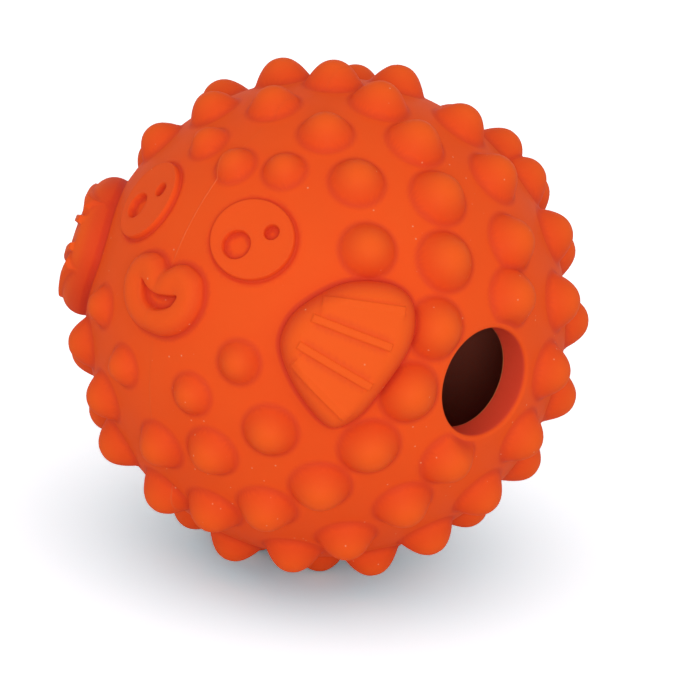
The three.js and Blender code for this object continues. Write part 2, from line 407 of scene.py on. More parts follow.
# %% Eyes
EYE_RAISE = 0.5
EYES = [
    {"place": direction(19.8, 31.8), "half": (8.65, 8.05), "pits": [(-2.3, -2.25, 2.95), (3.0, 2.75, 1.6)]},
    {"place": direction(20.4, 149), "half": (7.9, 8.5), "pits": [(-2.5, -1.8, 2.8), (2.8, 2.5, 1.55)]},
]
EYE_SPAN = 11
RIM_FALL, RIM_EDGE, RIM_FOOT = 6, 0.6, 0.3
RIM_OUTSET, PIT_INSET = 0.05, 0.2
GROOVE_DEPTH, GROOVE_REACH = 0.25, 0.35
PIT_DEPTH = 1.4
PIT_FALL, PIT_FOOT, PIT_EDGE = 7, 0.5, 0.25
RIM_ROWS = np.array([-0.7, -0.45, -0.25, -0.12, -0.03, 0.04, 0.11, 0.18, 0.26, 0.36, 0.5, 0.7, 0.95])
PIT_ROWS = np.array([-0.4, -0.2, -0.08, 0.02, 0.1, 0.18, 0.28, 0.4, 0.6])


def eye_reach(at, half):
    """Distance from the disc's middle, scaled so that it equals the mean half width on the rim."""
    return np.hypot(at[:, 0] / half[0], at[:, 1] / half[1]) * (half[0] + half[1]) / 2


def add_eye(radius, dirs, eye):
    """The disc's top is a plane, so its radius is a height over the cosine. Its rim is a steep
    cone, with a bell-shaped groove outside. A pit takes the lower of the top and of a steep cone
    with a flat floor. Edges and feet are rounded by their fillets."""
    at = flat(dirs, eye["place"])
    cosine = dirs @ eye["place"]
    top = (BODY_RADIUS + EYE_RAISE) / cosine
    beyond = eye_reach(at, eye["half"]) - sum(eye["half"]) / 2
    radius = radius - GROOVE_DEPTH * np.exp(-((beyond - GROOVE_REACH) / GROOVE_REACH) ** 2)
    disc = soft_min(top, BODY_RADIUS + (RIM_OUTSET - beyond) * RIM_FALL, RIM_EDGE)
    radius = soft_max(radius, disc, RIM_FOOT)
    for x, y, size in eye["pits"]:
        away = np.hypot(at[:, 0] - x, at[:, 1] - y)
        floor = (BODY_RADIUS + EYE_RAISE - PIT_DEPTH) / cosine
        wall = floor + (away - size + PIT_INSET) * PIT_FALL
        radius = soft_min(radius, soft_max(floor, wall, PIT_FOOT), PIT_EDGE)
    return radius


# %% [markdown]
# The lips are one puffy ring with a notch at the top, and the mouth is a half moon sunk into it.

# %% Lips and mouth
LIPS_PLACE = direction(8.5, -90)
LIPS_HEIGHT = 3.0
LIPS_FLANK = 2.8
LIPS_FILLET = 1.9
LIPS_SINK = 0.06
LIPS_SPAN = 14
NOTCH_DEPTH, NOTCH_WIDTH, NOTCH_LENGTH = 0.5, 1.1, 3
LIPS_OUTLINE = closed_curve(mirrored([
    (0, 5.3), (2.5, 6.7), (5.2, 7), (8.6, 5.4), (10.2, 1.5), (9.5, -2.4), (7.2, -5.5), (3.8, -7.4),
    (0, -7.8),
]))
MOUTH_OUTLINE = closed_curve([
    (0.3, 0.1), (3.0, 0.5), (5.6, 1.0), (4.3, -1.5), (0.5, -3.0), (-2.9, -1.7), (-4.3, 1.7), (-2.0, 0.6),
])
MOUTH_FLOOR = 0.9
MOUTH_RIM = 2.4
MOUTH_FALL_BELOW, MOUTH_FALL_MORE, MOUTH_CHANGE = 3.5, 3, 1.4
MOUTH_FOOT, MOUTH_EDGE = 0.6, 0.8
LIPS_ROWS = [-0.9, -0.6, -0.35, -0.18, -0.05, 0.06, 0.16, 0.3, 0.5, 0.8, 1.2]
MOUTH_ROWS = [-1.0, -0.7, -0.45, -0.28, -0.15, -0.05, 0.05, 0.15, 0.26, 0.4, 0.6]


def add_lips(height, at):
    """The flank rises as a quarter of an ellipse from the outline, then the ring sinks towards
    the mouth by LIPS_SINK times the square of the way. A bell-shaped notch runs up its middle.
    The mouth takes the lower of that and of a wall round a flat floor, which is steeper above
    than below."""
    e = inside(at, LIPS_OUTLINE)
    share = 1 - np.clip(e / LIPS_FLANK, 0, 1)
    ring = np.where(e > 0, LIPS_HEIGHT * np.sqrt(np.maximum(1 - share**2, 0)), OUTER_FALL * e)
    ring -= LIPS_SINK * np.maximum(e - LIPS_FLANK, 0) ** 2
    notch = np.exp(-(at[:, 0] / NOTCH_WIDTH) ** 2) * np.clip(at[:, 1] / NOTCH_LENGTH, 0, 1)
    ring -= NOTCH_DEPTH * notch * (e > 0)
    height = soft_max(height, ring, LIPS_FILLET)
    fall = MOUTH_FALL_BELOW + MOUTH_FALL_MORE * np.clip((at[:, 1] + MOUTH_CHANGE) / MOUTH_CHANGE, 0, 1)
    wall = MOUTH_RIM - inside(at, MOUTH_OUTLINE) * fall
    recess = soft_max(np.full(len(at), MOUTH_FLOOR), wall, MOUTH_FOOT)
    return soft_min(height, recess, MOUTH_EDGE)


# %% [markdown]
# Where the two halves of the mould met, a little rubber crept between them and left a thin
# line of flash. It shows from the brow down to the lips, below them, and over the bumps on the
# middle plane. It is a ridge, a fifth of a millimetre high, that comes and goes. A stretch of it is
# an angle round the middle plane from the nose, a reach in degrees, and a strength.

# %% Flash on the middle plane
FLASH_HEIGHT = 0.22
FLASH_WIDTH = 0.09
FLASH_EVERYWHERE = 0.06
FLASH_STRETCHES = [(14, 14, 0.9), (-34, 6, 0.25), (-62, 4, 0.4)]
SEAM_ROWS = [0.05, 0.1, 0.17, 0.27, 0.42]
SEAM_BAND = 0.6


def flash_along(dirs):
    """Height of the flash along the seam, as a share of FLASH_HEIGHT. It wavers about three
    quarters by two sines, and it rises over a few stretches, each a bell about its middle."""
    angle = np.degrees(np.arctan2(dirs[:, 2], -dirs[:, 1]))
    waver = 0.75 + 0.15 * np.sin(angle / 2.5) + 0.1 * np.sin(angle * 1.3)
    bells = sum(strength * np.exp(-((angle - middle) / reach) ** 4)
                for middle, reach, strength in FLASH_STRETCHES)
    return waver * (FLASH_EVERYWHERE + bells)


def add_flash(radius, dirs):
    """A bell-shaped ridge on x = 0, as high as the flash is there."""
    across = dirs[:, 0] * BODY_RADIUS / FLASH_WIDTH
    return radius + FLASH_HEIGHT * flash_along(dirs) * np.exp(-across**2)


# %% [markdown]
# Now the whole skin is one function: the distance from the ball's centre in any direction. Round
# the treat hole the skin runs plain into the rim, so the bumps there fade out.

# %% The skin as one function
hole_centre = direction(HOLE_POLAR, HOLE_ROLL) * BODY_RADIUS
RIM_ROUNDING = 1.2
rim_reach = HOLE_RADIUS + RIM_ROUNDING
FADE_START, FADE_LENGTH = -0.6, 2.2


def hole_reach(dirs):
    """Distance from the bore's axis, which runs along x, at the ball's radius."""
    at = dirs * BODY_RADIUS - hole_centre
    return np.where(dirs[:, 0] > 0, np.hypot(at[:, 1], at[:, 2]), 1e3)


def skin_radius(dirs):
    """Distance from the centre to the skin in mm, in each unit direction."""
    radius = add_bumps(np.full(len(dirs), BODY_RADIUS), dirs)
    fade = np.clip((hole_reach(dirs) - rim_reach - FADE_START) / FADE_LENGTH, 0, 1)
    radius = BODY_RADIUS + (radius - BODY_RADIUS) * fade * fade * (3 - 2 * fade)
    for fin in FINS:
        near, at = fin_reach(dirs, fin)
        radius[near] = BODY_RADIUS + add_fin(radius[near] - BODY_RADIUS, at, fin["rib"])
    near = np.flatnonzero(dirs @ LIPS_PLACE > math.cos(LIPS_SPAN / BODY_RADIUS))
    at = flat(dirs[near], LIPS_PLACE)
    radius[near] = BODY_RADIUS + add_lips(radius[near] - BODY_RADIUS, at)
    for eye in EYES:
        near = np.flatnonzero(dirs @ eye["place"] > math.cos(EYE_SPAN / BODY_RADIUS))
        radius[near] = add_eye(radius[near], dirs[near], eye)
    return add_flash(radius, dirs)


# %% [markdown]
# On the real toy the creases look a deeper red than the skin, and so do steep flanks and the
# border of the fins, where shade falls. Here that shade is painted: a material can't tell a crease
# by itself, so each point of the mesh gets a number that says how much of the painted red it takes.

# %% How much painted shade each point takes, from how deep in a crease it lies
CREASE_REACH = 1.15
CREASE_DEPTH, CREASE_LEAST = 0.38, 0.03
FLANK_SLOPE, FLANK_SHARE = 1.5, 0.35
CIRCLE_START = (0.48, 0.6, 0.64)
BORDER_SHARE, BORDER_MIDDLE, BORDER_WIDTH = 0.28, 0.7, 1.5
SAMPLES = 8


def painted_shade_amount(dirs, radius):
    """How much painted shade a place takes, from 0 to 1, from the radius on a small circle
    round it. A crease is as deep as the circle's mean radius less its own, and counts by that
    depth over depth plus CREASE_DEPTH. A flank counts by its slope squared, over that plus
    FLANK_SLOPE squared. A fin's border counts by a bell over the distance inside its outline.
    The three are joined as chances are: one minus the product of the rests."""
    across = np.cross(dirs, CIRCLE_START)
    across /= np.linalg.norm(across, axis=1)[:, None]
    along = np.cross(dirs, across)
    mean, right, ahead = np.zeros((3, len(dirs)))
    for angle in np.arange(SAMPLES) * 2 * math.pi / SAMPLES:
        step = math.cos(angle) * across + math.sin(angle) * along
        beside = dirs + CREASE_REACH / BODY_RADIUS * step
        found = skin_radius(beside / np.linalg.norm(beside, axis=1)[:, None])
        mean += found / SAMPLES
        right += found * math.cos(angle) * 2 / (SAMPLES * CREASE_REACH)
        ahead += found * math.sin(angle) * 2 / (SAMPLES * CREASE_REACH)
    depth = np.maximum(mean - radius - CREASE_LEAST, 0)
    steep = right**2 + ahead**2
    flank = FLANK_SHARE * steep / (steep + FLANK_SLOPE**2)
    border = np.zeros(len(dirs))
    for fin in FINS:
        near, at = fin_reach(dirs, fin)
        e = inside(at, FIN_OUTLINE)
        border[near] = BORDER_SHARE * np.exp(-((e - BORDER_MIDDLE) / BORDER_WIDTH) ** 2)
    return 1 - (1 - depth / (depth + CREASE_DEPTH)) * (1 - flank) * (1 - border)


# %% [markdown]
# A mesh shows a crisp edge only where its points run along that edge. So the points of the skin
# come in families: rows along every outline, rim and rib, rows beside the seam, a ring round the
# hole, and an even spread of points over all that is left.

# %% Even spread, rows beside the seam, and rings round the hole
SPREAD = 0.6
PACKING = 0.93
SEAM_POINTS = 1000
HOLE_POINTS = 160
HOLE_RINGS = (0, 0.25, 0.6, 1.0)
HOLE_BAND = 1.4


def spread_points(step):
    """Even spread over a unit sphere by the golden angle: heights in equal steps, and each
    point turned from the last by about 137.5 degrees."""
    count = int(4 * math.pi * BODY_RADIUS**2 / (step * step * PACKING))
    k = np.arange(count)
    y = 1 - (2 * k + 1) / count
    around = k * math.pi * (3 - math.sqrt(5))
    level = np.sqrt(1 - y * y)
    return np.stack([level * np.cos(around), y, level * np.sin(around)], axis=-1)


def seam_rows(side):
    """Rows of points beside the middle plane. They keep their distance from it in x."""
    a = np.linspace(0, 2 * math.pi, SEAM_POINTS, endpoint=False)
    rows = []
    for x in [0.0] + SEAM_ROWS:
        level = math.sqrt(1 - (x / BODY_RADIUS) ** 2)
        rows.append(np.stack([np.full(len(a), side * x / BODY_RADIUS), -level * np.cos(a),
                              level * np.sin(a)], axis=-1))
    return np.concatenate(rows)


def hole_rows():
    """Rings round the hole, of which the first is the edge of its rounded rim."""
    a = np.linspace(0, 2 * math.pi, HOLE_POINTS, endpoint=False)
    rows = []
    for more in HOLE_RINGS:
        y = hole_centre[1] + (rim_reach + more) * np.cos(a)
        z = hole_centre[2] + (rim_reach + more) * np.sin(a)
        x = np.sqrt(BODY_RADIUS**2 - y**2 - z**2)
        rows.append(np.stack([x, y, z], axis=-1) / BODY_RADIUS)
    return np.concatenate(rows)


# %% [markdown]
# Each family has a band, which is the stretch of skin that its rows cover. A less important family
# leaves out its points there. A band is given as a test that picks out directions.

# %% Bands of the families
BAND_SPAN = 18
EYE_COSINE = 0.9
PIT_BAND = (-0.1, 0.7)
RIM_BAND = (0.1, 1.15)
RIB_BAND = (0.7, 1.3)


def band(curve, low, high, place, view):
    """Test for directions whose distance inside a curve lies between low and high."""
    def test(dirs):
        found = np.zeros(len(dirs), bool)
        near = np.flatnonzero(view(dirs) @ place > math.cos(BAND_SPAN / BODY_RADIUS))
        e = inside(flat(view(dirs[near]), place), curve)
        found[near] = (e > low) & (e < high)
        return found
    return test


def rib_band(rib, fin):
    """Test for directions near a rib, past its ends and beside its middle line."""
    start, length, along, across = rib_frame(rib)

    def test(dirs):
        found = np.zeros(len(dirs), bool)
        near, at = fin_reach(dirs, fin)
        x, y = (at - start) @ along, (at - start) @ across
        found[near] = (x > -RIB_BAND[0]) & (x < length + RIB_BAND[0]) & (np.abs(y) < RIB_BAND[1])
        return found
    return test


def pit_band(eye, x, y, size):
    """Test for directions beside the edge of one of an eye's pits. A band of an eye is its
    middle and its reach, as a distance from the edge."""
    def test(dirs):
        away = np.hypot(*(flat(dirs, eye["place"]) - (x, y)).T) - size
        return (np.abs(away - PIT_BAND[0]) < PIT_BAND[1]) & (dirs @ eye["place"] > EYE_COSINE)
    return test


def rim_band(eye):
    """Test for directions beside the rim of an eye's disc."""
    def test(dirs):
        beyond = eye_reach(flat(dirs, eye["place"]), eye["half"]) - sum(eye["half"]) / 2
        return (np.abs(beyond - RIM_BAND[0]) < RIM_BAND[1]) & (dirs @ eye["place"] > EYE_COSINE)
    return test


# %% All the points of one half
MOUTH_BAND = (-1.2, 0.8)
LIPS_BAND = (-1.1, 1.5)
FIN_BAND = (-1.5, 2.2)
PIT_STEP = 0.2


def families(side):
    """Rows of points, each with the test for its band, and the most important family first."""
    fin, eye = (FINS[0], EYES[0]) if side > 0 else (FINS[1], EYES[1])
    found = [(seam_rows(side), lambda dirs: np.abs(dirs[:, 0]) * BODY_RADIUS < SEAM_BAND)]
    if side > 0:
        found.append((hole_rows(), lambda dirs: hole_reach(dirs) < rim_reach + HOLE_BAND))
    for x, y, size in eye["pits"]:
        rows = rows_along(circle(x, y, size, PIT_STEP), -PIT_ROWS + PIT_INSET)
        found.append((unflat(rows, eye["place"]), pit_band(eye, x, y, size)))
    mean = sum(eye["half"]) / 2
    disc = circle(0, 0, mean) * np.array(eye["half"]) / mean
    found.append((unflat(rows_along(disc, -RIM_ROWS), eye["place"]), rim_band(eye)))
    for curve, rows, limits in ((MOUTH_OUTLINE, MOUTH_ROWS, MOUTH_BAND),
                                (LIPS_OUTLINE, LIPS_ROWS, LIPS_BAND)):
        found.append((unflat(rows_along(curve, rows), LIPS_PLACE),
                      band(curve, *limits, LIPS_PLACE, lambda dirs: dirs)))
    for rib in RIBS:
        found.append((fin["view"](unflat(rib_rows(rib), fin["place"])), rib_band(rib, fin)))
    found.append((fin["view"](unflat(rows_along(FIN_OUTLINE, FIN_ROWS), fin["place"])),
                  band(FIN_OUTLINE, *FIN_BAND, fin["place"], fin["view"])))
    return found


def skin_points(side):
    """All the directions of one half, the seam's first and then the hole's."""
    found = families(side)
    bands = [test for _, test in found]
    groups = [points for points, _ in found] + [spread_points(SPREAD)]
    kept = []
    for k, points in enumerate(groups):
        if k > 0:
            points = points[points[:, 0] * side > 0]
        for test in bands[:k]:
            points = points[~test(points)]
        kept.append(points)
    print("side", side, "points", [len(p) for p in kept])
    return np.concatenate(kept)


# %% [markdown]
# The points of a half are joined to triangles on a flat map. The stereographic map, y/(1+x) and
# z/(1+x), keeps circles round, so the best triangles on the map are the best ones on the ball.
# Blender's triangulation picks those, and it also keeps given edges, here those of the hole's rim.

# %% Triangles for one half of a sphere
def triangulate(dirs, side, loop):
    """Triangles over directions on one half of a sphere, facing outwards. The loop's points, if
    any, bound a hole."""
    scale = 1 + dirs[:, 0] * side
    flat_map = [Vector(row) for row in (dirs[:, 1:] / scale[:, None]).tolist()]
    edges = list(zip(loop, np.roll(loop, -1))) if len(loop) else []
    edges = [(int(a), int(b)) for a, b in edges]
    points, _, faces, _, _, _ = geometry.delaunay_2d_cdt(flat_map, edges, [], 0, 1e-8, False)
    assert len(points) == len(dirs), (len(points), len(dirs))
    faces = np.array(faces)
    if len(loop):
        member = np.zeros(len(dirs), bool)
        member[loop] = True
        faces = faces[~member[faces].all(axis=1)]
    return faces if side > 0 else faces[:, ::-1]


def strips(first, second):
    """Quads between two closed rows of point numbers, each cut into two triangles."""
    a, b = first, np.roll(first, -1)
    c, d = second, np.roll(second, -1)
    return np.concatenate([np.stack([a, b, c], axis=1), np.stack([b, d, c], axis=1)])


# %% [markdown]
# The treat hole is a straight bore along x. Its outer edge is rounded: each point of the rim runs
# on a small curve from the skin into the bore. The wall then goes down to the round chamber,
# where the edge is nearly sharp.

# %% Rim and bore of the treat hole
CAVITY_RADIUS = BODY_RADIUS - WALL
INNER_EDGE = 0.3
EDGE_STEPS = (0.33, 0.67)
ALONG_BORE = np.linspace(0, 1, 9)[1:]


def bore_rows():
    """Closed rows from the rim's edge on the skin to the chamber, and the last one alone. The
    rounded stretch is a parabola from the skin over the sharp corner to the bore's wall."""
    a = np.linspace(0, 2 * math.pi, HOLE_POINTS, endpoint=False)

    def on_sphere(reach, radius):
        y = hole_centre[1] + reach * np.cos(a)
        z = hole_centre[2] + reach * np.sin(a)
        return np.stack([np.sqrt(radius**2 - y**2 - z**2), y, z], axis=-1)

    start = on_sphere(rim_reach, BODY_RADIUS)
    corner = on_sphere(HOLE_RADIUS, BODY_RADIUS)
    end = corner - [RIM_ROUNDING, 0, 0]
    inner = on_sphere(HOLE_RADIUS, CAVITY_RADIUS)
    rows = [(1 - t) ** 2 * start + 2 * t * (1 - t) * corner + t * t * end for t in ALONG_BORE]
    wall_end = inner + [INNER_EDGE, 0, 0]
    rows += [end + (wall_end - end) * t for t in ALONG_BORE]
    last = on_sphere(HOLE_RADIUS + INNER_EDGE, CAVITY_RADIUS)
    rows += [(1 - t) ** 2 * wall_end + 2 * t * (1 - t) * inner + t * t * last for t in EDGE_STEPS]
    return rows, last


# %% [markdown]
# A half shell is one closed surface: the skin, the rim and bore where the hole is, the inside of the
# chamber, and the flat ring on the middle plane, where the real halves are cemented together.

# %% One closed half shell
CAVITY_SPREAD = 1.6
SEAM_MARGIN = 1.0
BORE_MARGIN = 1.2


def half_shell(side):
    """Points in mm and triangles of one half, how many of the last triangles are flat, and how
    much painted shade each point takes. Only the left half, with side above 0, has the hole."""
    dirs = skin_points(side)
    seam = np.arange(SEAM_POINTS)
    hole_start = SEAM_POINTS * (1 + len(SEAM_ROWS))
    loop = hole_start + np.arange(HOLE_POINTS) if side > 0 else np.array([], int)
    radius = skin_radius(dirs)
    points = [dirs * radius[:, None]]
    faces = [triangulate(dirs, side, loop)]
    ring = dirs[seam]
    chamber = spread_points(CAVITY_SPREAD)
    chamber = chamber[chamber[:, 0] * side * BODY_RADIUS > SEAM_MARGIN]
    count = len(dirs)
    if side > 0:
        rows, last = bore_rows()
        previous = loop
        for row in rows:
            this = count + np.arange(HOLE_POINTS)
            points.append(row)
            faces.append(strips(previous, this))
            previous = this
            count += HOLE_POINTS
        last = last / CAVITY_RADIUS
        from_axis = np.hypot(*(chamber * CAVITY_RADIUS - hole_centre)[:, 1:].T)
        chamber = chamber[from_axis > HOLE_RADIUS + BORE_MARGIN]
        inner_dirs = np.concatenate([ring, last, chamber])
        inner_loop = SEAM_POINTS + np.arange(HOLE_POINTS)
        faces.append(strips(previous, count + inner_loop))
    else:
        inner_dirs = np.concatenate([ring, chamber])
        inner_loop = np.array([], int)
    faces.append(count + triangulate(inner_dirs, side, inner_loop)[:, ::-1])
    points.append(inner_dirs * CAVITY_RADIUS)
    # The flat ring joins the skin's seam to the chamber's.
    bond = strips(seam, count + seam)
    faces.append(bond if side > 0 else bond[:, ::-1])
    points = np.concatenate(points)
    painted_shade = np.zeros(len(points))
    # Painted shade: how much of the deeper red each point of the skin takes.
    painted_shade[:len(dirs)] = painted_shade_amount(dirs, radius)
    return points, np.concatenate(faces), len(bond), painted_shade


# %% Mesh objects
def add_attribute(mesh, name, values):
    """One number for each point of a mesh, which a material can read by its name."""
    attribute = mesh.attributes.new(name, "FLOAT", "POINT")
    attribute.data.foreach_set("value", values.astype(np.float32))


def make_piece(name, points, faces, flat_faces, painted_shade):
    """Mesh object from points in the fish's frame and triangles, smooth but for the last ones.
    Its attributes tell the material how much painted shade each point takes, and how high the
    flash is there."""
    mesh = bpy.data.meshes.new(name)
    mesh.from_pydata(to_world(points), [], faces.tolist())
    smooth = np.ones(len(faces), bool)
    smooth[len(faces) - flat_faces:] = False
    mesh.polygons.foreach_set("use_smooth", smooth)
    mesh.update()
    # The painted shade goes to the material as an attribute of each point.
    add_attribute(mesh, "painted_shade", painted_shade)
    add_attribute(mesh, "flash", flash_along(points / np.linalg.norm(points, axis=1)[:, None]))
    piece = bpy.data.objects.new(name, mesh)
    scene.collection.objects.link(piece)
    print(name, "triangles", len(faces))
    return piece


# %% Both half shells
left_skin = make_piece("left_half_rubber", *half_shell(1))
right_skin = make_piece("right_half_rubber", *half_shell(-1))
for piece, node, slot in ((left_skin, "left_half_shell", "rubber_left"),
                          (right_skin, "right_half_shell", "rubber_right")):
    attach(piece, "root")
    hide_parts(node)

# %% [markdown]
# Shader maths reads as ordinary maths when a socket is wrapped in a small class: each operator
# adds its Math node and hands back the new socket. A few more functions add the other nodes.

# %% Sockets with operators
class Number:
    """One number in a node tree. Sums, products and powers of it add their Math nodes."""

    def __init__(self, tree, socket):
        self.tree, self.socket = tree, socket

    def math(self, operation, *others):
        node = add_node(self.tree, "Math", {"operation": operation}, self, *others)
        return Number(self.tree, node.outputs[0])

    def __add__(self, other):
        return self.math("ADD", other)

    def __sub__(self, other):
        return self.math("SUBTRACT", other)

    def __rsub__(self, other):
        return self * -1 + other

    def __mul__(self, other):
        return self.math("MULTIPLY", other)

    __radd__, __rmul__ = __add__, __mul__

    def __truediv__(self, other):
        return self.math("DIVIDE", other)

    def __rtruediv__(self, other):
        return self**-1 * other

    def __pow__(self, other):
        return self.math("POWER", other)

    def __rpow__(self, base):
        node = add_node(self.tree, "Math", {"operation": "POWER"}, base, self)
        return Number(self.tree, node.outputs[0])

    def __abs__(self):
        return self.math("ABSOLUTE")

    def clipped(self):
        """The number, kept between 0 and 1."""
        return Number(self.tree, add_node(self.tree, "Clamp", {}, self).outputs[0])

    def step(self, low, high):
        """Smooth step from 0 at low to 1 at high."""
        smooth = {"interpolation_type": "SMOOTHSTEP"}
        node = add_node(self.tree, "MapRange", smooth, self, low, high)
        return Number(self.tree, node.outputs[0])


# %% Nodes
def feed(tree, socket, value):
    """Links a socket to another socket or a Number, or sets it to a plain value."""
    value = value.socket if isinstance(value, Number) else value
    if isinstance(value, bpy.types.NodeSocket):
        tree.links.new(value, socket)
    else:
        socket.default_value = value


def add_node(tree, kind, settings, *values, **named):
    """A shader node of a kind: its settings are set first, then its sockets by order or name."""
    node = tree.nodes.new("ShaderNode" + kind)
    for key, value in settings.items():
        setattr(node, key, value)
    for k, value in enumerate(values):
        feed(tree, node.inputs[k], value)
    for key, value in named.items():
        feed(tree, node.inputs[key.replace("_", " ")], value)
    return node


def mix_colours(tree, factor, first, second):
    """Colour that goes from first to second with the factor."""
    node = add_node(tree, "Mix", {"data_type": "RGBA"})
    for key, value in ((0, factor), (6, first), (7, second)):
        feed(tree, node.inputs[key], value)
    return node.outputs[2]


def noise(tree, place, scale, detail=2):
    """Soft noise, from about 0.2 to 0.8, with that many blobs to a metre."""
    node = add_node(tree, "TexNoise", {}, Vector=place, Scale=scale, Detail=detail)
    return Number(tree, node.outputs[0])


# %% Measures of a place on the ball
hole_place = (to_world(hole_centre) - ball_centre) / MM


def measures(tree):
    """A point's place in metres, and in mm its distance from the ball's centre, its height over
    the middle plane on the left side, and its distance from the axis of the hole."""
    place = add_node(tree, "TexCoord", {}).outputs["Object"]
    centred = add_node(tree, "VectorMath", {"operation": "SUBTRACT"}, place,
                       tuple(ball_centre)).outputs[0]
    length = add_node(tree, "VectorMath", {"operation": "LENGTH"}, centred)
    parts = add_node(tree, "SeparateXYZ", {}, centred).outputs
    x, y, z = (Number(tree, part) / MM for part in parts)
    bore = ((y - hole_place[1]) ** 2 + (z - hole_place[2]) ** 2) ** 0.5
    return place, Number(tree, length.outputs["Value"]) / MM, x, bore


# %% [markdown]
# The rubber is one orange with a soft, matte skin. Up close it isn't one flat colour: the pigment is
# a little cloudy. Light and shade are painted on too: the creases and the flanks get a deeper red as
# painted shade, the tops of the bumps a painted highlight, and the seam's thin flash a paler one.

# %% Colour of the skin
ORANGE = (0.91, 0.099, 0.015, 1)
DEEP_ORANGE = (0.82, 0.078, 0.014, 1)
# Painted highlight: the tops of the bumps are made this lighter orange.
TOP_HIGHLIGHT_ORANGE = (0.92, 0.114, 0.015, 1)
# Painted highlight: the flash and the bore's inner edge are made this paler orange.
PALE_HIGHLIGHT_ORANGE = (0.90, 0.30, 0.12, 1)
# Painted shade: creases, steep flanks and the fins' borders are made this deeper red.
SHADE_RED = (0.60, 0.030, 0.022, 1)
CLOUD_SHARE, SHADE_SHARE, FLASH_HIGHLIGHT_SHARE = 0.25, 0.8, 0.3
CLOUDS_SCALE, CLOUDS_STEP = 45, (0.35, 0.7)
TOPS = (51, 55)
FLASH_SIDES = (0.05, 0.22)


def attribute(tree, name):
    """The number that the mesh keeps for each of its points under a name."""
    return Number(tree, add_node(tree, "Attribute", {"attribute_name": name}).outputs["Fac"])


def skin_colour(tree, place, reach, x):
    """Cloudy orange, with painted highlights on the tops and on the flash, and painted red shade in the
    creases.
    """
    clouds = noise(tree, place, CLOUDS_SCALE, 3).step(*CLOUDS_STEP)
    colour = mix_colours(tree, clouds * CLOUD_SHARE, ORANGE, DEEP_ORANGE)
    # Painted highlight: the tops of the bumps are made lighter.
    colour = mix_colours(tree, reach.step(*TOPS), colour, TOP_HIGHLIGHT_ORANGE)
    # Painted shade: a deeper red in the creases, on steep flanks and along the fins' borders.
    colour = mix_colours(tree, attribute(tree, "painted_shade") * SHADE_SHARE, colour, SHADE_RED)
    # Painted highlight: the flash ridge is made paler.
    ridge = (1 - abs(x).step(*FLASH_SIDES)) * attribute(tree, "flash")
    return mix_colours(tree, ridge * FLASH_HIGHLIGHT_SHARE, colour, PALE_HIGHLIGHT_ORANGE)


# %% [markdown]
# Fine pale dust clings to the skin, in patches everywhere and thicker round the hole. The chamber's
# dark brown is painted shade, because plain orange would pass so much light from wall to wall in
# there that the hole would glow, and in the photo it is dark.

# %% Dust
DUST = (0.9, 0.45, 0.25, 1)
DUST_SHARE = 0.55
DUST_SCALE, SPECK_STEP = 700, (0.05, 0.18)
PATCH_SCALE, PATCH_STEP = 28, (0.5, 0.72)
PATCH_DUST, LEAST_DUST, CRUMB_DUST = 0.2, 0.008, 0.18
CRUMBS_STEP = (14, 32)
SKIN_STEP = (49.6, 50)


def dust(tree, place, reach, x, bore):
    """Specks of dust, from 0 to 1. Space is cut into small cells, each with a random number, and
    a cell has a speck where one less its number lies under the share of dust."""
    crumbs = (1 - bore.step(*CRUMBS_STEP)) * x.step(0, 1) * CRUMB_DUST
    share = noise(tree, place, PATCH_SCALE, 1).step(*PATCH_STEP) * PATCH_DUST + LEAST_DUST + crumbs
    cell = add_node(tree, "TexVoronoi", {"feature": "F1"}, Vector=place, Scale=DUST_SCALE)
    red = add_node(tree, "SeparateColor", {}, cell.outputs["Color"]).outputs[0]
    speck = 1 - Number(tree, cell.outputs["Distance"]).step(*SPECK_STEP)
    return speck * (Number(tree, red) - 1 + share).step(0, 0.01) * reach.step(*SKIN_STEP)


# %% Bore and chamber
# Painted shade: the bore's wall is made this darker red.
BORE_SHADE_RED = (0.82, 0.072, 0.036, 1)
# Painted shade: the chamber is made this dark brown.
CHAMBER_SHADE_BROWN = (0.40, 0.21, 0.17, 1)
BORE_STEP = (HOLE_RADIUS - 0.05, HOLE_RADIUS + 0.2)
CHAMBER_STEP = (CAVITY_RADIUS - 0.1, CAVITY_RADIUS + 0.1)
CHAMBER_START = (HOLE_RADIUS + 0.15, HOLE_RADIUS + 0.3)
EDGE_STEP, EDGE_END = (0.15, 0.4), (HOLE_RADIUS + 0.4, HOLE_RADIUS + 0.6)


def hole_colour(tree, reach, x, bore, colour):
    """The colour with painted shade in the bore as a darker red, a painted highlight as a paler inner edge,
    and painted shade in the chamber as a dark brown.
    """
    in_bore = (1 - bore.step(*BORE_STEP)) * x.step(0, 1)
    # Painted shade: the bore's wall is made a darker red.
    colour = mix_colours(tree, in_bore, colour, BORE_SHADE_RED)
    # Painted highlight: a paler line along the bore's inner edge.
    edge = (1 - abs(reach - CAVITY_RADIUS).step(*EDGE_STEP)) * (1 - bore.step(*EDGE_END))
    colour = mix_colours(tree, edge, colour, PALE_HIGHLIGHT_ORANGE)
    # Painted shade: the chamber is made a dark brown.
    in_chamber = (1 - reach.step(*CHAMBER_STEP)) * bore.step(*CHAMBER_START)
    return mix_colours(tree, in_chamber, colour, CHAMBER_SHADE_BROWN)


# %% Rubber
GRAIN_SCALES = (2600, 420)
GRAIN_DEPTH, GRAIN_STRENGTH = 0.0003, 0.06
ROUGH_SCALE, ROUGH_LEAST, ROUGH_MORE = 300, 0.5, 0.08


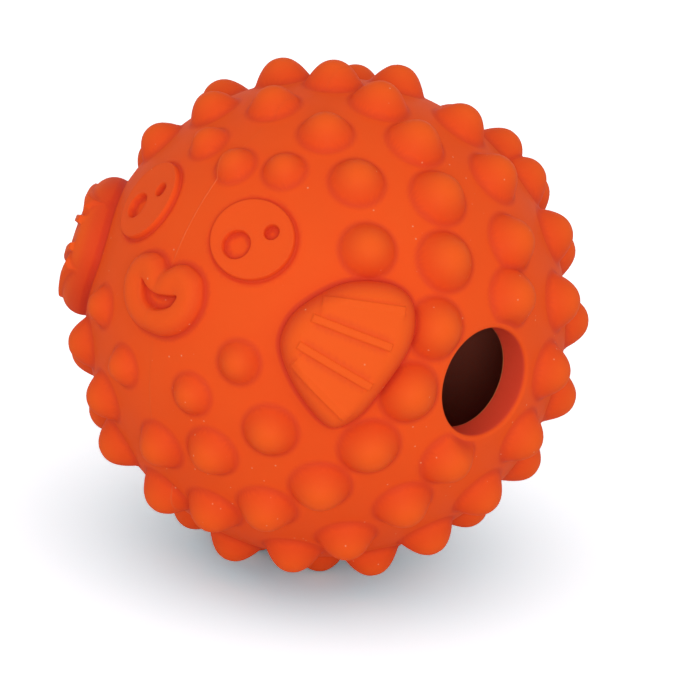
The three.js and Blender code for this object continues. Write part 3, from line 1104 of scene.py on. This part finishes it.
def rubber_material(name):
    """Matte orange rubber with dust, painted shade and highlights, a chamber painted dark and a fine grain.
    """
    material = bpy.data.materials.new(name)
    material.use_nodes = True
    tree = material.node_tree
    tree.nodes.clear()
    place, reach, x, bore = measures(tree)
    colour = skin_colour(tree, place, reach, x)
    colour = mix_colours(tree, dust(tree, place, reach, x, bore) * DUST_SHARE, colour, DUST)
    colour = hole_colour(tree, reach, x, bore, colour)
    grain = noise(tree, place, GRAIN_SCALES[0]) * 0.5 + noise(tree, place, GRAIN_SCALES[1])
    bump = add_node(tree, "Bump", {}, Strength=GRAIN_STRENGTH, Distance=GRAIN_DEPTH,
                    Height=grain)
    roughness = ROUGH_LEAST + ROUGH_MORE * noise(tree, place, ROUGH_SCALE)
    shader = add_node(tree, "BsdfPrincipled", {}, Base_Color=colour, Roughness=roughness,
                      Normal=bump.outputs[0], IOR=1.45)
    shader.inputs["Specular IOR Level"].default_value = 0.05
    shader.inputs["Subsurface Weight"].default_value = 0.06
    shader.inputs["Subsurface Radius"].default_value = (1.0, 0.25, 0.08)
    shader.inputs["Subsurface Scale"].default_value = 0.002
    output = add_node(tree, "OutputMaterial", {})
    tree.links.new(shader.outputs[0], output.inputs["Surface"])
    return material


for piece, name in ((left_skin, "left_orange_rubber"), (right_skin, "right_orange_rubber")):
    piece.data.materials.append(rubber_material(name))

# %% [markdown]
# The camera looks at the fish's left cheek from a little above. Its three directions are given in
# the fish's terms: the side, the nose and the fish's up.

# %% Camera
CAMERA_DISTANCE = 0.575
RIGHT = (0.719, -0.591, 0.365)
UP = (-0.286, 0.227, 0.931)
LENS = 141.4
SHIFT = (0.0343, -0.0477)

side_axis = np.array([1.0, 0, 0])
nose_axis = np.array([0, -math.cos(NOSE_LIFT), math.sin(NOSE_LIFT)])
top_axis = np.array([0, math.sin(NOSE_LIFT), math.cos(NOSE_LIFT)])
axes = np.stack([side_axis, nose_axis, top_axis])
camera_right = np.array(RIGHT) @ axes
camera_right /= np.linalg.norm(camera_right)
camera_up = np.array(UP) @ axes
camera_up -= camera_up @ camera_right * camera_right
camera_up /= np.linalg.norm(camera_up)
camera_back = np.cross(camera_right, camera_up)

camera_data = bpy.data.cameras.new("camera")
camera_data.lens = LENS
camera_data.shift_x, camera_data.shift_y = SHIFT
camera = bpy.data.objects.new("camera", camera_data)
turn = Matrix(np.stack([camera_right, camera_up, camera_back], axis=1).tolist()).to_4x4()
camera.matrix_world = Matrix.Translation(Vector(ball_centre + CAMERA_DISTANCE * camera_back)) @ turn
scene.collection.objects.link(camera)
scene.camera = camera

# %% [markdown]
# A plain studio: a white floor that keeps the ball's shadow, one soft lamp near the camera, and a
# white world.

# %% Floor
FLOOR_COLOUR = (0.8, 0.8, 0.8, 1)
FLOOR_SEEN = (1.74, 1.80, 1.86)
FLOOR_HALF = 6.0
NEAR_BALL, NEAR_POWER = 0.034, 1.4
LESS_RED, MORE_BLUE = 1.5, 0.15


def floor_material():
    """Matt pale floor, which the camera sees as white. Near the ball it sees it bluer, to even
    out the orange light there: with a bell f over the distance from the ball's foot, red is
    divided by 1 + 1.5 f, and blue is multiplied by 1 + 0.15 f."""
    material = bpy.data.materials.new("pale_floor")
    material.use_nodes = True
    tree = material.node_tree
    tree.nodes.clear()
    place = add_node(tree, "TexCoord", {}).outputs["Object"]
    foot = (float(ball_centre[0]), float(ball_centre[1]), 0)
    away = add_node(tree, "VectorMath", {"operation": "DISTANCE"}, place, foot).outputs["Value"]
    fall = math.e ** ((Number(tree, away) / NEAR_BALL) ** NEAR_POWER * -1)
    red = FLOOR_SEEN[0] / (1 + LESS_RED * fall)
    blue = FLOOR_SEEN[2] * (1 + MORE_BLUE * fall)
    tint = add_node(tree, "CombineColor", {}, red, FLOOR_SEEN[1], blue)
    camera_ray = add_node(tree, "LightPath", {}).outputs["Is Camera Ray"]
    seen = mix_colours(tree, camera_ray, FLOOR_COLOUR, tint.outputs[0])
    matt = add_node(tree, "BsdfDiffuse", {}, seen)
    output = add_node(tree, "OutputMaterial", {})
    tree.links.new(matt.outputs[0], output.inputs["Surface"])
    return material


floor_mesh = bpy.data.meshes.new("floor")
corners = [(x * FLOOR_HALF, y * FLOOR_HALF, 0) for x, y in ((-1, -1), (1, -1), (1, 1), (-1, 1))]
floor_mesh.from_pydata(corners, [], [(0, 1, 2, 3)])
floor = bpy.data.objects.new("floor", floor_mesh)
floor.data.materials.append(floor_material())
scene.collection.objects.link(floor)
floor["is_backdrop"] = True

# %% Lamp
LAMP_PLACE = (0.06, -0.13, 1.0)
LAMP_SIZE, LAMP_WATTS = 0.3, 2.1

# The place is (right, up, back) from the ball's centre as the camera sees it, in metres.
offset = np.array(LAMP_PLACE) @ np.stack([camera_right, camera_up, camera_back])
lamp_data = bpy.data.lights.new("front", "AREA")
lamp_data.size, lamp_data.energy = LAMP_SIZE, LAMP_WATTS
lamp = bpy.data.objects.new("front", lamp_data)
lamp.matrix_world = (Matrix.Translation(Vector(ball_centre + offset))
                     @ Vector(offset).to_track_quat("Z", "Y").to_matrix().to_4x4())
scene.collection.objects.link(lamp)

# %% [markdown]
# The world is white to the camera and in mirror images. As a lamp it is weaker, and it lights the
# ball a little more from the camera's side and from below than from behind and above.

# %% World
AMBIENT, AMBIENT_TILT = 0.66, 0.33
FROM_BELOW = 0.3

world = bpy.data.worlds.new("white_room")
world.use_nodes = True
scene.world = world
tree = world.node_tree
tree.nodes.clear()
ray = add_node(tree, "TexCoord", {}).outputs["Generated"]
ahead = add_node(tree, "VectorMath", {"operation": "DOT_PRODUCT"}, ray,
                 tuple(camera_back - FROM_BELOW * camera_up))
ambient = AMBIENT + AMBIENT_TILT * Number(tree, ahead.outputs["Value"])
rays = add_node(tree, "LightPath", {})
seen = sum(Number(tree, rays.outputs["Is " + kind + " Ray"])
           for kind in ("Camera", "Glossy", "Transmission")).clipped()
background = add_node(tree, "Background", {}, (1, 1, 1, 1), seen + (1 - seen) * ambient)
output = add_node(tree, "OutputWorld", {})
tree.links.new(background.outputs[0], output.inputs[0])

scene.view_settings.view_transform = "Standard"

# %% Sizes, and the end
def plain(box):
    """A box as plain lists of numbers."""
    return [[float(v) for v in corner] for corner in box]


sizes = {"cad": plain(cad_box), "visual": plain(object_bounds())}
print("over the CAD box in mm", [[round((v - c) * 1000, 2) for v, c in zip(a, b)]
                                 for a, b in zip(sizes["visual"], sizes["cad"])])
